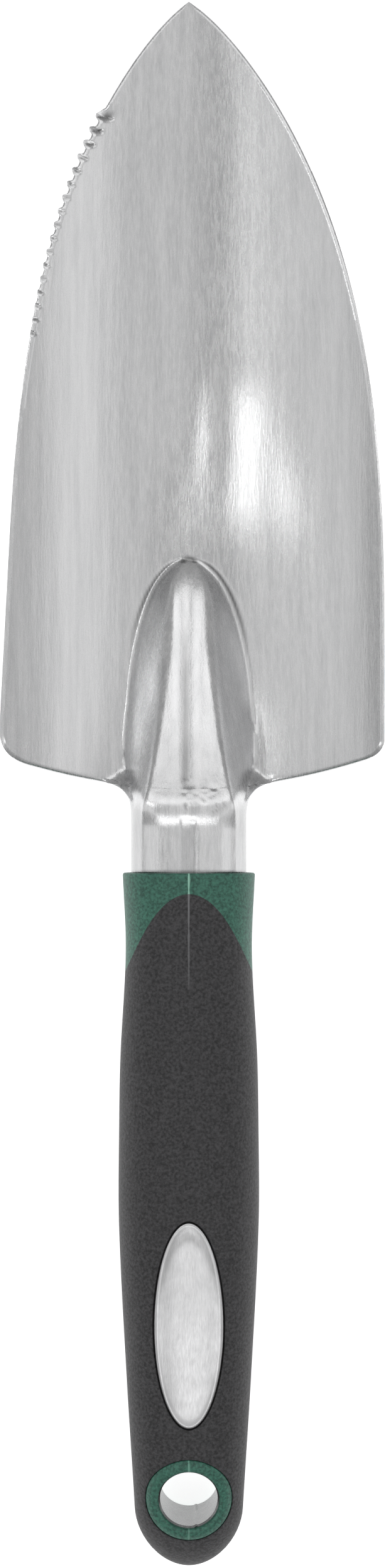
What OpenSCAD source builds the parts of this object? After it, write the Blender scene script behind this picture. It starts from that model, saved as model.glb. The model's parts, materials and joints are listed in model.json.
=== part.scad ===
// Hand trowel: a cast aluminium scoop and tang in a two-colour moulded handle.
// The tool lies on its back with the hollow of the scoop up. +X is to the right of the scoop,
// +Y runs along the tool towards its tip, and z = 0 is the surface that it lies on.
// A station is the distance from the tip, measured back along the tool, in mm.

/* [Overall] */
// Length from the tip of the blade to the end of the handle
tool_length = 330; // [326:1:334]
// Station of the blade's back edge on the centre line
heel_station = 166.1; // [165.5:0.1:166.5]
// Station where the collar of the handle begins
collar_station = 183.6; // [183:0.1:184]

/* [Blade] */
// Greatest half width on the plain right-hand side
right_half_width = 41; // [39:0.5:43]
// Half width of the serrated left-hand side before its flare
left_half_width = 32; // [30:0.5:34]
// How much the left-hand side widens per mm of station
left_flare = 0.05; // [0.04:0.005:0.06]
// Radius of the trough across the blade
trough_radius = 56; // [52:1:62]
// Thickness of the cast sheet
sheet_t = 2.5; // [2:0.1:3]
// How far the floor of the trough rises at the tip
tip_rise = 6; // [3:0.5:8]
// Station where the floor begins to rise towards the tip
rise_station = 120; // [110:1:130]
// How strongly the back edge sweeps forward towards its corners
heel_sweep = 0.0044; // [0.003:0.0002:0.005]

/* [Serration] */
// Number of teeth on the left-hand edge
tooth_count = 17; // [12:1:17]
// Distance between teeth along the tool
tooth_pitch = 2.86; // [2.7:0.02:3]
// Station of the first tooth
tooth_station = 24.8; // [24:0.1:26]
// Depth of the first and largest gullet
tooth_depth = 1.5; // [1:0.1:1.8]

/* [Rib and neck] */
// Station of the rib's pointed front end
rib_station = 117.2; // [115:0.2:120]
// Half width of the rib where it meets the floor
rib_half_width = 13; // [12.5:0.1:13.5]
// Height of the rib's rounded nose above the floor
nose_height = 3; // [2:0.5:4]
// Highest point of the rib, at its shoulder
shoulder_z = 24.6; // [24:0.2:26]
// Width of the neck
neck_w = 24.3; // [24:0.1:24.8]
// Height of the neck
neck_h = 19; // [18:0.5:20]
// Height of the neck's middle above the surface
neck_z = 13.5; // [13:0.1:14]

/* [Tang] */
// Width of the tang inside the handle
tang_w = 14; // [12:0.5:15]
// Thickness of the tang
tang_t = 8; // [6:0.5:9]

/* [Handle] */
// Thickness of the rubber grip over the core
grip_t = 2.6; // [2.4:0.1:2.8]
// Roundness of the handle's section, 2 for an ellipse
section_power = 2.25; // [2:0.05:2.5]
// Station of the grip's front end on the upper and lower faces
grip_station = 187.9; // [187:0.1:189]
// How far the grip's end curves back at the sides, per square mm of half width
grip_arch = 0.092; // [0.08:0.002:0.1]
// Depth of the flattened thumb area
thumb_flat = 0.9; // [0.5:0.1:1.2]

/* [Thumb plate] */
// Length of the oval plate
inlay_l = 43.6; // [40:0.2:45]
// Width of the oval plate
inlay_w = 14.6; // [13:0.2:15]
// Thickness of the plate
inlay_t = 1.1; // [0.8:0.1:1.2]
// Thickness of the bonding pad under the plate
pad_t = 0.3; // [0.2:0.1:0.4]
// Gap between the plate's rim and the recess
inlay_gap = 0.25; // [0.15:0.05:0.3]
// Station of the plate's middle
inlay_station = 277.8; // [277:0.2:279]

/* [Hang hole] */
// Station of the hole's middle
hole_station = 313.4; // [313:0.1:314]
// Lean of the hole from the vertical, towards the end of the handle
hole_lean = 11; // [9:0.5:12]
// Diameter of the hole in the metal eye
eye_bore_d = 12.1; // [11.5:0.1:12.2]
// Diameter of the hole in the plastic rings on both faces
ring_bore_d = 12.8; // [12.6:0.1:13]
// Outside diameter of the plastic rings
ring_d = 18.2; // [17.8:0.1:18.4]
// Outside diameter of the metal eye
eye_d = 16.4; // [16:0.1:16.6]
// Depth of the metal eye along the hole
eye_depth = 11; // [10:0.5:12]

/* [Hidden] */
metal = [0.80, 0.81, 0.82];
green = [0.12, 0.36, 0.27];
black = [0.16, 0.16, 0.165];
plate_colour = [0.84, 0.84, 0.85];
pad_colour = [0.9, 0.9, 0.86];

// Half width of the blade's sides grows as side_full * (1 - (1 - s / length)^2.8)^0.8.
side_power = 2.8;
side_root = 0.8;
right_side_length = 140;
left_side_length = 120;
floor_z = sheet_t / 2;

// Corners of the heel: each is a curve drawn out by its start, its corner point and its end.
left_corner = [[-39.7, 153], [-40.1, 159.8], [-32.5, heel_station - heel_sweep * 32.5 * 32.5]];
right_corner = [[41, 155.5], [40.9, 158.9], [36.5, heel_station - heel_sweep * 36.5 * 36.5]];
fillet_x = 18;
neck_start = heel_station + 5.4;
neck_end = collar_station + 7;

// Sizes of the handle by station: [station, value].
half_widths = [[184, 13.9], [200, 13.25], [222, 14.35], [237, 14.62], [257, 14.65],
    [290, 13.05], [317, 11.45], [330, 10.9]];
half_heights = [[184, 11.9], [200, 11.4], [225, 12.3], [250, 12.6], [275, 11.6],
    [300, 10], [317, 8.9], [330, 8.4]];
centre_heights = [[184, 13.7], [205, 15.8], [240, 17.3], [275, 15.8], [300, 12.6],
    [316, 9.6], [330, 6.4]];
butt_station = tool_length - 12.5;
butt_power = 1.9;

// ---- helpers -------------------------------------------------------------------------------
function clamp(x, lo, hi) = min(max(x, lo), hi);
function mix(a, b, t) = a + (b - a) * t;
function ease(a, b, x) = let (t = clamp((x - a) / (b - a), 0, 1)) t * t * (3 - 2 * t);
function smooth_max(a, b, k) = let (h = max(k - abs(a - b), 0) / k) max(a, b) + h * h * k / 4;
function smooth_min(a, b, k) = -smooth_max(-a, -b, k);
function signed_power(x, p) = sign(x) * pow(abs(x), p);
// A curve from a to c, drawn out towards b.
function bend(p, t) = mix(mix(p[0], p[1], t), mix(p[1], p[2], t), t);
// The place of a point in the part: a station becomes a position along Y.
function place(x, s, z) = [x, tool_length / 2 - s, z];

// Value at s of a smooth curve through the given [station, value] pairs.
function span_of(p, s, i = 0) = i >= len(p) - 2 || s < p[i + 1][0] ? i : span_of(p, s, i + 1);
function slope(p, i) =
    let (a = max(i - 1, 0), b = min(i + 1, len(p) - 1)) (p[b][1] - p[a][1]) / (p[b][0] - p[a][0]);
function along(p, s) =
    let (i = span_of(p, s), w = p[i + 1][0] - p[i][0], t = clamp((s - p[i][0]) / w, 0, 1))
    (2 * t * t * t - 3 * t * t + 1) * p[i][1] + (t * t * t - 2 * t * t + t) * w * slope(p, i)
    + (3 * t * t - 2 * t * t * t) * p[i + 1][1] + (t * t * t - t * t) * w * slope(p, i + 1);

// Triangles between neighbouring rings of n points, in rows rows; first is the first point's index.
function skin(rows, n, first = 0, inward = false) = [
    for (i = [0:rows - 2]) for (j = [0:n - 1])
        let (a = first + i * n + j, b = first + i * n + (j + 1) % n)
        for (t = [[a, b, b + n], [a, b + n, a + n]]) inward ? [t[2], t[1], t[0]] : t];
// A ladder across one ring of n points closes it: point k faces point n - 1 - k.
function cap(n, first, inward = false) = [
    for (k = [0:n / 2 - 2])
        let (a = first + k, b = a + 1, c = first + n - 2 - k, d = c + 1)
        for (t = [[a, b, c], [a, c, d]]) inward ? [t[2], t[1], t[0]] : t];
// Triangles between two rings of n points that start at first and at second.
function rim(n, first, second, inward = false) = [
    for (j = [0:n - 1])
        let (k = (j + 1) % n)
        for (t = [[first + j, first + k, second + k], [first + j, second + k, second + j]])
            inward ? [t[2], t[1], t[0]] : t];
function joined(rings) = [for (ring = rings) for (p = ring) p];

module loft(rings) {
    rows = len(rings);
    n = len(rings[0]);
    faces = concat(cap(n, 0, true), skin(rows, n), cap(n, (rows - 1) * n));
    polyhedron(joined(rings), faces, convexity = 8);
}

// ---- blade ---------------------------------------------------------------------------------
function side(s, full, length) =
    full * pow(1 - pow(1 - clamp(s / length, 0, 1), side_power), side_root);
function right_side(s) = side(s, right_half_width, right_side_length);
// Each tooth has a lip that stands out and a gullet behind it; both shrink towards the heel.
function gullet(s) =
    let (n = (s - tooth_station) / tooth_pitch, i = floor(n), f = n - i)
    i < 0 || i >= tooth_count ? 0
    : tooth_depth * (1 - 0.75 * i / tooth_count) * (f < 0.12 ? 0.5 : f < 0.55 ? -0.5 : 0);
function left_side(s) = -(side(s, left_half_width, left_side_length) + left_flare * s + gullet(s));

// Stations of the rows: close together at the tip, three rows to each tooth, then wider apart.
tip_rows = [for (i = [0:9]) 0.4 + (tooth_station - 2) * pow(i / 9, 1.5)];
tooth_rows = [for (i = [0:tooth_count - 1]) for (f = [0.02, 0.3, 0.6])
    tooth_station + (i + f) * tooth_pitch];
plain_start = tooth_station + tooth_count * tooth_pitch + 2;
plain_rows = [for (i = [0:6]) mix(plain_start, rib_station - 3, i / 6)];
rib_rows = [for (i = [0:9]) rib_station + 36 * pow(i / 9, 1.35)];
side_rows = concat(tip_rows, tooth_rows, plain_rows, rib_rows);
corner_start = side_rows[len(side_rows) - 1];

// One row of the blade: [left edge, right edge, station on the centre line].
side_edges = [for (s = side_rows) [[left_side(s), s], [right_side(s), s], s]];
corner_edges = [for (i = [1:5]) let (t = i / 5)
    [bend(left_corner, t), bend(right_corner, t), mix(corner_start, 160, t)]];
heel_edges = [for (i = [1:5]) let (t = i / 5, l = mix(32.5, fillet_x, t), r = mix(36.5, fillet_x, t))
    [[-l, heel_station - heel_sweep * l * l], [r, heel_station - heel_sweep * r * r], mix(160, 165, t)]];
fillet_curve = [[fillet_x, heel_station - heel_sweep * fillet_x * fillet_x],
    [neck_w / 2, heel_station - 0.6], [neck_w / 2, neck_start]];
fillet_edges = [for (i = [1:6]) let (p = bend(fillet_curve, i / 6))
    [[-p[0], p[1]], p, mix(165, neck_start, i / 6)]];
neck_edges = [for (s = [neck_start + 1.5, neck_end]) [[-neck_w / 2, s], [neck_w / 2, s], s]];
blade_edges = concat(side_edges, corner_edges, heel_edges, fillet_edges, neck_edges);

// Middle surface of the sheet: a trough, lifted to the neck's middle behind the heel.
function trough(x, s) =
    floor_z + tip_rise * pow(clamp(1 - s / rise_station, 0, 1), 2)
    + trough_radius - sqrt(trough_radius * trough_radius - x * x);
function web(s) = ease(heel_station - 2, neck_start, s);
function middle(x, s) = mix(trough(x, s), neck_z, web(s));
// The rib and neck: half width, top and bottom by station.
function core_half_width(s) =
    let (u = clamp((s - rib_station) / 30, 0, 1))
    mix(rib_half_width * sqrt(1 - (1 - u) * (1 - u)), neck_w / 2, ease(150, neck_start, s));
function core_top(s) =
    let (u = s - rib_station, ramp = (shoulder_z - sheet_t - nose_height) / (165 - rib_station),
        rise = sheet_t + nose_height * (1 - exp(-u / 2.5)) + ramp * u)
    mix(rise, neck_z + neck_h / 2, ease(165, neck_start, s));
function core_bottom(s) = mix(0, neck_z - neck_h / 2, ease(160, neck_start, s));
function dome(x, w) = let (p = abs(x) / w) p >= 1 ? 0 : pow(1 - pow(p, 2.4), 1 / 1.8);
function upper(x, s) =
    let (sheet = middle(x, s) + sheet_t / 2, w = s > rib_station ? core_half_width(s) : 0)
    w <= abs(x) || w == 0 ? sheet
    : let (base = middle(w, s)) smooth_max(sheet, mix(base, core_top(s), dome(x, w)), 0.6);
function lower(x, s) =
    let (sheet = middle(x, s) - sheet_t / 2, w = s > rib_station ? core_half_width(s) : 0)
    w <= abs(x) || w == 0 ? sheet
    : let (base = middle(w, s)) smooth_min(sheet, mix(base, core_bottom(s), dome(x, w)), 0.6);

// Places across a row, closer together over the rib and neck, from -1 to 1.
across = 12;
function spread(i) = let (t = i / across) signed_power(sin(90 * t), 1.15);
// A row's point at fraction u of the way from the centre line to an edge.
function row_point(edge, u, top) =
    let (e = u < 0 ? edge[0] : edge[1], x = abs(u) * e[0], s = mix(edge[2], e[1], u * u))
    place(x, s, top ? upper(x, s) : lower(x, s));
function row_ring(edge) = concat(
    [for (i = [-across:across]) row_point(edge, spread(i), true)],
    [for (i = [across:-1:-across]) row_point(edge, spread(i), false)]);

module blade() {
    loft([for (edge = blade_edges) row_ring(edge)]);
}

// ---- handle --------------------------------------------------------------------------------
function butt(s) = pow(1 - pow(clamp((s - butt_station) / (tool_length - butt_station), 0, 1),
    butt_power), 1 / butt_power);
function thumb_depth(s) = thumb_flat * ease(228, 262, s) * (1 - ease(296, 312, s));
// A point of the handle's surface at angle a and station s, sunk by depth below the outside.
function handle_point(a, s, depth = 0) =
    let (w = (along(half_widths, s) - depth) * butt(s + depth),
        h = (along(half_heights, s) - depth) * butt(s + depth),
        z = h * signed_power(sin(a), 2 / section_power),
        flat = along(half_heights, s) - thumb_depth(s) - depth)
    place(w * signed_power(cos(a), 2 / section_power), s,
        along(centre_heights, s) + smooth_min(z, flat, 0.9));
sides = 32;
function angle(j) = -360 * (j + 0.5) / sides;
function grip_edge(a) =
    let (x = 13.35 * pow(abs(cos(a)), 2 / section_power)) grip_station + grip_arch * x * x;
// Rows of the grip run from its curved front end to the round end of the handle.
handle_rows = 26;
function row_share(i) = let (t = i / handle_rows) 1 - pow(1 - t, 1.6);
function handle_station(a, i, depth) =
    mix(grip_edge(a), tool_length - depth - 0.02, row_share(i));
function handle_ring(i, depth) = [for (j = [0:sides - 1])
    handle_point(angle(j), handle_station(angle(j), i, depth), depth)];
function collar_ring(t) = [for (j = [0:sides - 1])
    handle_point(angle(j), mix(collar_station, grip_edge(angle(j)), t))];
collar_rings = [for (i = [0:4]) collar_ring(i / 4)];
outer_rings = [for (i = [0:handle_rows]) handle_ring(i, 0)];
inner_rings = [for (i = [0:handle_rows]) handle_ring(i, grip_t)];

// Along the hang hole: from the middle of the hole, leaning towards the end of the handle.
hole_z = along(centre_heights, hole_station);
module at_hole() {
    translate(place(0, hole_station, hole_z)) rotate([hole_lean, 0, 0]) children();
}
module hole_post(d, h) {
    at_hole() cylinder(d = d, h = h, center = true, $fn = 64);
}

// ---- tang ----------------------------------------------------------------------------------
tang_stations = [for (i = [0:12]) mix(neck_end - 1, hole_station, i / 12)];
function tang_middle(s) = mix(neck_z, along(centre_heights, s), ease(neck_end, 215, s));
module tang() {
    top = [for (s = tang_stations) [tool_length / 2 - s, tang_middle(s) + tang_t / 2]];
    under = [for (i = [12:-1:0]) let (s = tang_stations[i])
        [tool_length / 2 - s, tang_middle(s) - tang_t / 2]];
    rotate([90, 0, 90]) linear_extrude(tang_w, center = true) polygon(concat(top, under));
}
// The part of the neck inside the collar.
module neck_plug() {
    ring = row_ring(blade_edges[len(blade_edges) - 1]);
    translate([0, tool_length / 2 - collar_station + 2, 0]) rotate([90, 0, 0])
        linear_extrude(neck_end - collar_station + 2) polygon([for (p = ring) [p[0], p[2]]]);
}

// ---- pieces --------------------------------------------------------------------------------
module blade_casting() {
    color(metal) difference() {
        union() {
            blade();
            tang();
            hole_post(eye_d, eye_depth);
        }
        hole_post(eye_bore_d, 60);
    }
}

module handle_core() {
    rings = concat(collar_rings, inner_rings);
    color(green) difference() {
        union() {
            loft(rings);
            intersection() {
                hole_post(ring_d, 60);
                loft(outer_rings);
            }
        }
        neck_plug();
        tang();
        hole_post(eye_d, eye_depth);
        hole_post(ring_bore_d, 60);
    }
}

module grip() {
    n = sides;
    rows = handle_rows + 1;
    second = rows * n;
    faces = concat(skin(rows, n), cap(n, (rows - 1) * n), skin(rows, n, second, true),
        cap(n, second + (rows - 1) * n, true), rim(n, 0, second, true));
    color(black) difference() {
        polyhedron(concat(joined(outer_rings), joined(inner_rings)), faces, convexity = 8);
        hole_post(ring_d, 60);
        oval_layer(-2, inlay_t + pad_t, 0);
    }
}

// A layer of the thumb plate's stack: an oval from depth a to depth b under the handle's surface.
oval_sides = 40;
oval_steps = 5;
function surface_z(x, s) =
    let (w = along(half_widths, s), h = along(half_heights, s),
        z = h * pow(1 - pow(abs(x) / w, section_power), 1 / section_power))
    along(centre_heights, s) + smooth_min(z, h - thumb_depth(s), 0.9);
function oval_ring(r, depth, gap) = [for (j = [0:oval_sides - 1])
    let (a = 360 * j / oval_sides, x = r * (inlay_w / 2 - gap + inlay_gap) * cos(a),
        s = inlay_station - r * (inlay_l / 2 - gap + inlay_gap) * sin(a))
    place(x, s, surface_z(x, s) - depth)];
module oval_layer(a, b, gap) {
    n = oval_sides;
    steps = concat([0.02], [for (i = [1:oval_steps]) i / oval_steps]);
    top = [for (r = steps) oval_ring(r, a, gap)];
    under = [for (i = [len(steps) - 1:-1:0]) oval_ring(steps[i], b, gap)];
    loft(concat(top, under));
}

module thumb_inlay() {
    color(plate_colour) oval_layer(0.1, inlay_t, inlay_gap);
}

module inlay_adhesive() {
    color(pad_colour) oval_layer(inlay_t, inlay_t + pad_t, 1);
}

blade_casting();
handle_core();
grip();
thumb_inlay();
inlay_adhesive();
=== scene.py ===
# %% [markdown]
# # A cast hand trowel with a two-colour moulded handle
# The real tool is one aluminium casting: a scoop, a rib, a neck, and a tang that runs inside the
# handle to an eye at its end. A hard green plastic core is moulded round the tang. Soft black
# rubber is moulded over the core, and an oval metal plate sits under the thumb.
# The CAD model fixes where every piece is. Each surface below is worked out in the same frame,
# in millimetres, and turned into metres when it becomes a mesh.

# %% Load the fixed frame
import json
import math

import bmesh
import bpy
import numpy as np
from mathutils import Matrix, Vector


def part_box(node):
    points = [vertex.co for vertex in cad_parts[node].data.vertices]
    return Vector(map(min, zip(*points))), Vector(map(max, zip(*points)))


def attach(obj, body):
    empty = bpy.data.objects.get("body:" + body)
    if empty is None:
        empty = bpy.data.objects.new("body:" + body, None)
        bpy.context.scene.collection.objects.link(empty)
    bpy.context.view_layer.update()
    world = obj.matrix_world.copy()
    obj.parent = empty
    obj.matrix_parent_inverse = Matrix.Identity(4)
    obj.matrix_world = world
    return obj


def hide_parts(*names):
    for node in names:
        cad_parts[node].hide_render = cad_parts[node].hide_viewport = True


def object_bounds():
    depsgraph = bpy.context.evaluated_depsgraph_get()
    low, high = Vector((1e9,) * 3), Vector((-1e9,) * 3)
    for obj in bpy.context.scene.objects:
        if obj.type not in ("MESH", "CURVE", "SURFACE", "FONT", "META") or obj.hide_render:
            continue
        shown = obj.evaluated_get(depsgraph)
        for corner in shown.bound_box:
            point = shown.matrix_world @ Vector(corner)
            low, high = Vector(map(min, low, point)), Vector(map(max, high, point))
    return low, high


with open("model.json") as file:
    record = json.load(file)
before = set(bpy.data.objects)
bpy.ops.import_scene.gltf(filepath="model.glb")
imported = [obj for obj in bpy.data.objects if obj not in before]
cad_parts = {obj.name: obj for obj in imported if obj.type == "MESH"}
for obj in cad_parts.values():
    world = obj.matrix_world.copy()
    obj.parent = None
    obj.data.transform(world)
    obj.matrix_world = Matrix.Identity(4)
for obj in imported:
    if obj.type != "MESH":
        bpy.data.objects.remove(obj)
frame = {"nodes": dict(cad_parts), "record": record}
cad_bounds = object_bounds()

print("nodes:", sorted(frame["nodes"]))

# %% [markdown]
# ## Where things are
# A station is the distance from the tip of the blade, measured back along the tool. It suits a
# long tool better than y, because widths, heights and joints are all given along its length.
# The driving sizes come from the boxes of the CAD nodes and from the record's hang hole.

# %% Driving sizes
MM = 0.001


def box_mm(node):
    """Lowest and highest corner of a CAD node, in millimetres."""
    low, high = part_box(node)
    return np.array(low) / MM, np.array(high) / MM


casting_high = box_mm("blade_casting")[1]
core_high = box_mm("handle_core")[1]
plate_low, plate_high = box_mm("thumb_inlay")

tip_blunting = 0.4
tip_y = round(casting_high[1] + tip_blunting, 1)
tool_length = 2 * tip_y
collar_station = round(tip_y - core_high[1], 1)
plate_width = plate_high[0] - plate_low[0]
plate_length = plate_high[1] - plate_low[1]
plate_station = tip_y - (plate_high[1] + plate_low[1]) / 2

hole = next(m for m in frame["record"]["mounts"] if m["name"] == "hang_hole")
hole_station = tip_y - hole["pos_m"][1] / MM
hole_z = hole["pos_m"][2] / MM
hole_lean = math.atan2(-hole["axis"][1], hole["axis"][2])
eye_bore = hole["dims"]["r_mm"]
print(f"length {tool_length:.1f}, collar at {collar_station}, hole at {hole_station:.1f}")


# %% [markdown]
# ## Small helpers for shapes
# Every surface is a grid of points, worked out as whole arrays. These helpers blend numbers
# smoothly, run a smooth curve through a few stations, and turn grids into one closed mesh.

# %% Blends and curves
def mix(a, b, t):
    """a at t = 0 and b at t = 1, in a straight line between."""
    return a + (b - a) * t


def ease(start, end, x):
    """0 before start and 1 after end, with an S-shaped climb 3t^2 - 2t^3 between them."""
    t = np.clip((x - start) / (end - start), 0, 1)
    return t * t * (3 - 2 * t)


def smooth_max(a, b, k):
    """The larger of a and b, with the corner between them rounded over a width k."""
    h = np.maximum(k - np.abs(a - b), 0) / k
    return np.maximum(a, b) + h * h * k / 4


def smooth_min(a, b, k):
    """The smaller of a and b, with a rounded corner."""
    return -smooth_max(-a, -b, k)


def signed_power(x, power):
    """The size of x to a power, with the sign of x kept."""
    return np.sign(x) * np.abs(x) ** power


def along(table, s):
    """Value at s of a smooth curve through (station, value) pairs: each span is a cubic whose
    slope at a station is that of the line between the station's two neighbours."""
    x, y = np.array(table, float).T
    ahead = np.minimum(np.arange(len(x)) + 1, len(x) - 1)
    behind = np.maximum(np.arange(len(x)) - 1, 0)
    slope = (y[ahead] - y[behind]) / (x[ahead] - x[behind])
    i = np.clip(np.searchsorted(x, s, side="right") - 1, 0, len(x) - 2)
    w = x[i + 1] - x[i]
    t = np.clip((s - x[i]) / w, 0, 1)
    return ((2 * t**3 - 3 * t**2 + 1) * y[i] + (t**3 - 2 * t**2 + t) * w * slope[i]
            + (3 * t**2 - 2 * t**3) * y[i + 1] + (t**3 - t**2) * w * slope[i + 1])


def place(x, s, z):
    """Points in the part's frame from across, station and height."""
    x, s, z = np.broadcast_arrays(x, s, z)
    return np.stack([x, tip_y - s, z], -1)


# %% Grids into a mesh
def grid_faces(rows, cols, wrap, first):
    """Four-cornered faces of a grid of points stored row by row; wrap joins the last column to
    the first."""
    i, j = np.meshgrid(np.arange(rows - 1), np.arange(cols if wrap else cols - 1), indexing="ij")
    a = first + i * cols + j
    b = first + i * cols + (j + 1) % cols
    return np.stack([a, b, b + cols, a + cols], -1).reshape(-1, 4)


def make_piece(name, patches, sharp_degrees=40):
    """One closed mesh from (grid, wrap) patches in millimetres whose borders share points. The
    patches are welded, faces that collapsed at a pole go, and the normals are turned outwards."""
    points, faces, first = [], [], 0
    for grid, wrap in patches:
        rows, cols = grid.shape[:2]
        points.append(grid.reshape(-1, 3))
        faces.append(grid_faces(rows, cols, wrap, first))
        first += rows * cols
    points, faces = np.concatenate(points) * MM, np.concatenate(faces)
    mesh = bpy.data.meshes.new(name)
    mesh.vertices.add(len(points))
    mesh.vertices.foreach_set("co", points.ravel())
    mesh.loops.add(faces.size)
    mesh.loops.foreach_set("vertex_index", faces.ravel())
    mesh.polygons.add(len(faces))
    mesh.polygons.foreach_set("loop_start", np.arange(0, faces.size, 4))
    mesh.update(calc_edges=True)
    weld = bmesh.new()
    weld.from_mesh(mesh)
    bmesh.ops.remove_doubles(weld, verts=weld.verts, dist=5e-7)
    bmesh.ops.dissolve_degenerate(weld, edges=weld.edges, dist=1e-7)
    bmesh.ops.recalc_face_normals(weld, faces=weld.faces)
    weld.to_mesh(mesh)
    weld.free()
    edge_of_loop = np.empty(len(mesh.loops), np.int32)
    mesh.loops.foreach_get("edge_index", edge_of_loop)
    open_edges = np.count_nonzero(np.bincount(edge_of_loop, minlength=len(mesh.edges)) != 2)
    mesh.polygons.foreach_set("use_smooth", np.ones(len(mesh.polygons), bool))
    mesh.set_sharp_from_angle(angle=math.radians(sharp_degrees))
    piece = bpy.data.objects.new(name, mesh)
    bpy.context.scene.collection.objects.link(piece)
    print(f"{name}: {len(mesh.polygons)} faces, {open_edges} open edges")
    return piece


def combine(piece, other, operation):
    """The union of two closed pieces, or the first less the second, as the first piece's mesh."""
    cut = piece.modifiers.new("combine", "BOOLEAN")
    cut.operation = operation
    cut.solver = "MANIFOLD"
    cut.object = other
    graph = bpy.context.evaluated_depsgraph_get()
    joined = bpy.data.meshes.new_from_object(piece.evaluated_get(graph))
    piece.modifiers.clear()
    old, piece.data = piece.data, joined
    bpy.data.meshes.remove(old)
    bpy.data.objects.remove(other)
    joined.polygons.foreach_set("use_smooth", np.ones(len(joined.polygons), bool))
    joined.set_sharp_from_angle(angle=math.radians(40))
    print(f"{piece.name} after {operation.lower()}: {len(joined.polygons)} faces")
    return piece


def collapse(row):
    """Two rows that close an open end: the end row, and the same row drawn in to its middle."""
    return np.stack([row, np.broadcast_to(row.mean(0), row.shape)])


def read_points(piece):
    """Across, forward and height of every point of a piece, in millimetres."""
    flat = np.empty(3 * len(piece.data.vertices))
    piece.data.vertices.foreach_get("co", flat)
    return flat.reshape(-1, 3).T / MM


def keep_values(piece, name, values):
    """Stores one number for each point of a piece, for its material to read."""
    layer = piece.data.attributes.new(name, "FLOAT", "POINT")
    layer.data.foreach_set("value", values.astype(np.float32))


# %% [markdown]
# ## The outline of the scoop
# The scoop could be cut from a flat shape and bent, but a casting has no flat pattern. So its
# outline is given by formula: each side swells from the tip as 1 - (1 - s / length)^2.8, and
# round corners lead into a back edge that sweeps forward. The left side carries the teeth.

# %% Outline of the blade
sheet_t = 2.5
rim_round = 0.95
heel_station = 166.1
heel_sweep = 0.0044
neck_start = heel_station + 5.4
neck_end = collar_station + 7
neck_w, neck_h, neck_z = 24.3, 19.0, 13.5
fillet_x = 18.0
tooth_count, tooth_pitch, tooth_station = 17, 2.857, 24.75


def heel(x):
    """Station of the back edge: it sweeps forward with the square of the distance across."""
    return heel_station - heel_sweep * x * x


def side(s, full, length):
    """Half width at station s, 0 at the tip and full from station length on."""
    return full * (1 - (1 - np.clip(s / length, 0, 1)) ** 2.8) ** 0.8


def left_edge(s):
    return -(side(s, 32.0, 120.0) + 0.05 * s)


def right_edge(s):
    return side(s, 41.0, 140.0)


def bend(start, corner, end, t):
    """A curve from start to end, drawn out towards corner: a blend of two blends."""
    start, corner, end = (np.array(p, float) for p in (start, corner, end))
    t = np.asarray(t)[:, None]
    return mix(mix(start, corner, t), mix(corner, end, t), t)


left_corner = [(-39.7, 153.0), (-40.1, 159.8), (-32.5, heel(32.5))]
right_corner = [(41.0, 155.5), (40.9, 158.9), (36.5, heel(36.5))]


def inset(outline, inwards):
    """The curve a rim's radius inside an outline, and the step back out to it. The step is the
    outline's tangent turned by a quarter, as long as the rim's radius, and shorter at the tip."""
    tangent = np.gradient(outline, axis=0)
    tangent /= np.linalg.norm(tangent, axis=1)[:, None]
    radius = np.minimum(rim_round, 0.5 * np.abs(outline[:, :1]))
    outward = np.stack([tangent[:, 1], -tangent[:, 0]], 1) * inwards * radius
    return outline - outward, outward


print(f"heel at {heel_station}, neck {neck_w} mm wide from {neck_start:.1f} to {neck_end:.1f}")

# %% [markdown]
# ## The height of the casting
# Across, the scoop is a trough of one radius, and its floor rises towards the tip. The rib is a
# ridge with steep flanks and a narrow flat top that widens towards the shoulder. The top of the
# rib keeps two low ridges with a groove between them, left where the core was filed after
# casting. Behind the heel the sheet lifts into the neck.

# %% Trough and rib
trough_radius, tip_rise, rise_station = 56.0, 6.0, 120.0
rib_station, nose_height, shoulder_station, shoulder_z = 117.2, 3.0, 169.0, 23.9
rib_half_widths = [(147.2, 13.1), (154, 13.7), (160, 13.6), (166, 12.5), (neck_start, neck_w / 2),
                   (200, neck_w / 2)]


def swell(x, s):
    """The floor swells in front of the rib, mostly on its right: an S-shaped climb along the tool.
    A low ridge right of the middle, a bell curve across, dies out where the swelling is highest."""
    swelling = ease(-16, 6, x) * (1 - ease(16, 36, x))
    ridge = 0.28 * np.exp(-(((x - 4.8) / 2.9) ** 2)) * ease(64, 86, s) * (1 - ease(90, 108, s))
    return 2.5 * ease(77, 114, s) * (1 - ease(115, 150, s)) * swelling + ridge


def middle(x, s):
    """Middle of the sheet: a trough of one radius, raised towards the tip, lifted to the neck."""
    floor = sheet_t / 2 + tip_rise * np.clip(1 - s / rise_station, 0, 1) ** 2 + swell(x, s)
    trough = floor + trough_radius - np.sqrt(trough_radius**2 - x * x)
    saddle = 0.15 * ease(140, 170, s) * (1 - ease(7, 30, np.abs(x)))
    lift_start = heel_station - 2 - 5 * (1 - ease(9, 19, np.abs(x)))
    return mix(trough, neck_z, 1 - (1 - saddle) * (1 - ease(lift_start, neck_start, s)))


def rib_width(s):
    """Half width of the rib: a quarter ellipse from its nose, then narrowing into the neck."""
    u = np.clip((s - rib_station) / 30, 0, 1)
    return along(rib_half_widths, np.maximum(s, rib_half_widths[0][0])) * np.sqrt(1 - (1 - u) ** 2)


def rib_top(s):
    """Height of the ridge: a rounded nose, a straight ramp, a shoulder, then the neck."""
    u = np.maximum(s - rib_station, 0)
    ramp = (shoulder_z - sheet_t - nose_height) / (shoulder_station - rib_station)
    rise = sheet_t + nose_height * (1 - np.exp(-u / 4)) + ramp * u + swell(-3.0, s)
    return mix(rise, neck_z + neck_h / 2, ease(shoulder_station - 2, 174.5, s))


facet_half_widths = [(117, 0.6), (119, 1.6), (123, 3.0), (135, 3.7), (143, 4.6), (156, 6.4), (165, 8.3),
                     (171, 9.6), (184, 10.6)]


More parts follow.
